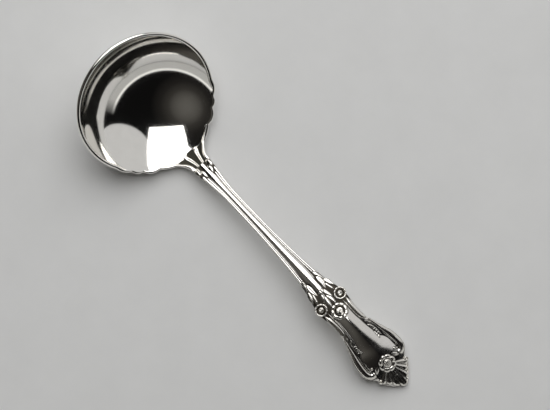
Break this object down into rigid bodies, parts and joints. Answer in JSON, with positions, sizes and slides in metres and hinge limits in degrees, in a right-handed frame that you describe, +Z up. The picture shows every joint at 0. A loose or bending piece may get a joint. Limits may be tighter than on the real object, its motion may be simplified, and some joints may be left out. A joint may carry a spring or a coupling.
{
  "type": "gravy ladle",
  "caption": "Polished silver gravy ladle: round deep bowl leaning towards an arched, fluted handle with leaves, blossoms, scrolls and a shell tip in relief.",
  "frame": {"origin": "on the table, under the middle of the ladle's length and width as it lies on its bowl and the end of its handle", "axes": "+X from the bowl to the tip of the handle, +Y to the right of the person who holds it, +Z up from the table"},
  "size_m": [0.1646, 0.055, 0.0341],
  "materials": {
    "bowl_silver": "mirror-polished silver with fine use scratches",
    "handle_silver": "polished silver",
    "ornament_silver": "polished silver, darkened in the recesses"
  },
  "bodies": {
    "root": {"bowl": "bowl_silver", "handle": "handle_silver", "back_drop": "handle_silver", "neck_leaf_left": "ornament_silver", "neck_leaf_right": "ornament_silver", "neck_bud_left": "ornament_silver", "neck_bud_right": "ornament_silver", "edge_leaf_left": "ornament_silver", "edge_leaf_right": "ornament_silver", "stem_leaf_left": "ornament_silver", "stem_leaf_right": "ornament_silver", "calyx_leaf_left": "ornament_silver", "calyx_leaf_right": "ornament_silver", "blossom_left": "ornament_silver", "blossom_right": "ornament_silver", "blossom_centre": "ornament_silver", "waist_reed_left": "ornament_silver", "waist_reed_right": "ornament_silver", "border_leaf_left": "ornament_silver", "border_leaf_right": "ornament_silver", "end_scroll_left": "ornament_silver", "end_scroll_right": "ornament_silver", "tip_flower": "ornament_silver", "tip_shell": "ornament_silver"}
  },
  "joints": []
}
